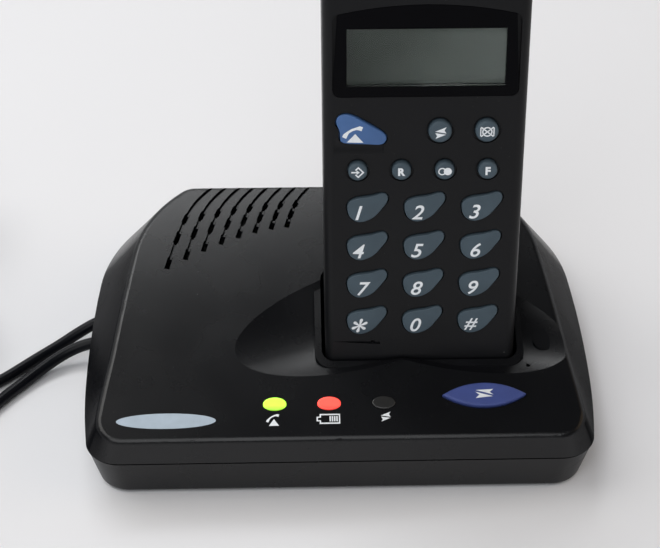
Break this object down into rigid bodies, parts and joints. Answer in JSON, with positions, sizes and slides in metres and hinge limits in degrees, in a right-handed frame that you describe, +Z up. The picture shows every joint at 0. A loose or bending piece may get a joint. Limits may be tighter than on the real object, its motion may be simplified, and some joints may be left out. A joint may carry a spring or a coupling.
{
  "type": "cordless telephone",
  "caption": "Cordless telephone: a handset with keypad and display stands leaning back in the pocket of a sloping charging base with vents, lights and a page button.",
  "frame": {"origin": "middle of the base's footprint, on the surface it stands on", "axes": "+Z up, -Y towards someone facing the keypad, +X to that person's right"},
  "size_m": [0.2448, 0.1567, 0.1872],
  "materials": {
    "base_shell": "fine-textured charcoal",
    "handset_shell": "fine-textured charcoal",
    "rubber_black": "matte",
    "key_rubber": "slate grey, matte, light printed figures",
    "talk_rubber": "blue, matte, light printed handset icon",
    "page_rubber": "violet blue, matte",
    "window": "clear pane with a gloss black border",
    "lcd": "grey-green display",
    "led_green": "lit lens",
    "led_red": "lit lens",
    "led_grey": "unlit lens",
    "screw_steel": "zinc plated",
    "contact_metal": "nickel plated",
    "board": "green solder mask",
    "speaker": "black paper cone and metal basket",
    "capsule": "satin",
    "aerial_wire": "satin",
    "jack_plastic": "black moulding",
    "cord_plastic": "black, slightly glossy",
    "plug_clear": "clear moulding",
    "adaptor_plastic": "fine-textured black",
    "pin_metal": "nickel plated",
    "cell_sleeve": "shrink sleeve"
  },
  "bodies": {
    "base": {"base_top_shell": "base_shell", "base_bottom_shell": "base_shell", "base_rubber_feet": "rubber_black", "base_screws": "screw_steel", "base_circuit_board": "board", "ringer_speaker": "speaker", "base_microphone": "capsule", "base_antenna": "aerial_wire", "charge_springs": "contact_metal", "led_green": "led_green", "led_red": "led_red", "led_link": "led_grey", "page_switch": "jack_plastic", "line_jack": "jack_plastic", "power_jack": "jack_plastic", "line_cord": "cord_plastic", "line_cord_coil": "cord_plastic", "power_cord": "cord_plastic", "power_cord_coil": "cord_plastic", "power_cord_base_plug": "cord_plastic", "adaptor_strain_relief": "cord_plastic", "line_cord_base_plug": "plug_clear", "line_cord_wall_plug": "plug_clear", "wall_adaptor_body": "adaptor_plastic", "wall_adaptor_pins": "pin_metal"},
    "page_button": {"page_button": "page_rubber"},
    "handset": {"handset_front_shell": "handset_shell", "handset_rear_shell": "handset_shell", "display_window": "window", "lcd_module": "lcd", "keypad_mat": "rubber_black", "handset_circuit_board": "board", "earpiece": "speaker", "handset_microphone": "capsule", "handset_antenna": "handset_shell", "battery_pack": "cell_sleeve", "handset_contacts": "contact_metal", "handset_screws": "screw_steel"},
    "battery_cover": {"battery_cover": "handset_shell"},
    "key_1": {"key_1": "key_rubber"},
    "key_2": {"key_2": "key_rubber"},
    "key_3": {"key_3": "key_rubber"},
    "key_4": {"key_4": "key_rubber"},
    "key_5": {"key_5": "key_rubber"},
    "key_6": {"key_6": "key_rubber"},
    "key_7": {"key_7": "key_rubber"},
    "key_8": {"key_8": "key_rubber"},
    "key_9": {"key_9": "key_rubber"},
    "key_star": {"key_star": "key_rubber"},
    "key_0": {"key_0": "key_rubber"},
    "key_hash": {"key_hash": "key_rubber"},
    "flash_key": {"flash_key": "key_rubber"},
    "mute_key": {"mute_key": "key_rubber"},
    "memory_key": {"memory_key": "key_rubber"},
    "recall_key": {"recall_key": "key_rubber"},
    "redial_key": {"redial_key": "key_rubber"},
    "function_key": {"function_key": "key_rubber"},
    "talk_key": {"talk_key": "talk_rubber"}
  },
  "joints": [
    {"name": "handset_lift", "type": "slide", "parent": "base", "child": "handset", "axis": [0, 0.1865, 0.9825], "range_m": [0, 0.06]},
    {"name": "page_press", "type": "slide", "parent": "base", "child": "page_button", "axis": [0, 0.339, -0.9408], "range_m": [0, 0.0008], "stiffness_N_per_m": 900, "springref_m": -0.0004},
    {"name": "key_1_press", "type": "slide", "parent": "handset", "child": "key_1", "axis": [0, 0.9825, -0.1865], "range_m": [0, 0.0008], "stiffness_N_per_m": 900, "springref_m": -0.0004},
    {"name": "key_2_press", "type": "slide", "parent": "handset", "child": "key_2", "axis": [0, 0.9825, -0.1865], "range_m": [0, 0.0008], "stiffness_N_per_m": 900, "springref_m": -0.0004},
    {"name": "key_3_press", "type": "slide", "parent": "handset", "child": "key_3", "axis": [0, 0.9825, -0.1865], "range_m": [0, 0.0008], "stiffness_N_per_m": 900, "springref_m": -0.0004},
    {"name": "key_4_press", "type": "slide", "parent": "handset", "child": "key_4", "axis": [0, 0.9825, -0.1865], "range_m": [0, 0.0008], "stiffness_N_per_m": 900, "springref_m": -0.0004},
    {"name": "key_5_press", "type": "slide", "parent": "handset", "child": "key_5", "axis": [0, 0.9825, -0.1865], "range_m": [0, 0.0008], "stiffness_N_per_m": 900, "springref_m": -0.0004},
    {"name": "key_6_press", "type": "slide", "parent": "handset", "child": "key_6", "axis": [0, 0.9825, -0.1865], "range_m": [0, 0.0008], "stiffness_N_per_m": 900, "springref_m": -0.0004},
    {"name": "key_7_press", "type": "slide", "parent": "handset", "child": "key_7", "axis": [0, 0.9825, -0.1865], "range_m": [0, 0.0008], "stiffness_N_per_m": 900, "springref_m": -0.0004},
    {"name": "key_8_press", "type": "slide", "parent": "handset", "child": "key_8", "axis": [0, 0.9825, -0.1865], "range_m": [0, 0.0008], "stiffness_N_per_m": 900, "springref_m": -0.0004},
    {"name": "key_9_press", "type": "slide", "parent": "handset", "child": "key_9", "axis": [0, 0.9825, -0.1865], "range_m": [0, 0.0008], "stiffness_N_per_m": 900, "springref_m": -0.0004},
    {"name": "key_star_press", "type": "slide", "parent": "handset", "child": "key_star", "axis": [0, 0.9825, -0.1865], "range_m": [0, 0.0008], "stiffness_N_per_m": 900, "springref_m": -0.0004},
    {"name": "key_0_press", "type": "slide", "parent": "handset", "child": "key_0", "axis": [0, 0.9825, -0.1865], "range_m": [0, 0.0008], "stiffness_N_per_m": 900, "springref_m": -0.0004},
    {"name": "key_hash_press", "type": "slide", "parent": "handset", "child": "key_hash", "axis": [0, 0.9825, -0.1865], "range_m": [0, 0.0008], "stiffness_N_per_m": 900, "springref_m": -0.0004},
    {"name": "flash_key_press", "type": "slide", "parent": "handset", "child": "flash_key", "axis": [0, 0.9825, -0.1865], "range_m": [0, 0.0008], "stiffness_N_per_m": 900, "springref_m": -0.0004},
    {"name": "mute_key_press", "type": "slide", "parent": "handset", "child": "mute_key", "axis": [0, 0.9825, -0.1865], "range_m": [0, 0.0008], "stiffness_N_per_m": 900, "springref_m": -0.0004},
    {"name": "memory_key_press", "type": "slide", "parent": "handset", "child": "memory_key", "axis": [0, 0.9825, -0.1865], "range_m": [0, 0.0008], "stiffness_N_per_m": 900, "springref_m": -0.0004},
    {"name": "recall_key_press", "type": "slide", "parent": "handset", "child": "recall_key", "axis": [0, 0.9825, -0.1865], "range_m": [0, 0.0008], "stiffness_N_per_m": 900, "springref_m": -0.0004},
    {"name": "redial_key_press", "type": "slide", "parent": "handset", "child": "redial_key", "axis": [0, 0.9825, -0.1865], "range_m": [0, 0.0008], "stiffness_N_per_m": 900, "springref_m": -0.0004},
    {"name": "function_key_press", "type": "slide", "parent": "handset", "child": "function_key", "axis": [0, 0.9825, -0.1865], "range_m": [0, 0.0008], "stiffness_N_per_m": 900, "springref_m": -0.0004},
    {"name": "talk_key_press", "type": "slide", "parent": "handset", "child": "talk_key", "axis": [0, 0.9825, -0.1865], "range_m": [0, 0.0008], "stiffness_N_per_m": 900, "springref_m": -0.0004},
    {"name": "battery_cover_tilt", "type": "hinge", "parent": "handset", "child": "battery_cover", "pos_m": [0.0222, -0.00539, 0.05507], "axis": [-1, 0, 0], "range_deg": [0, 60]}
  ]
}
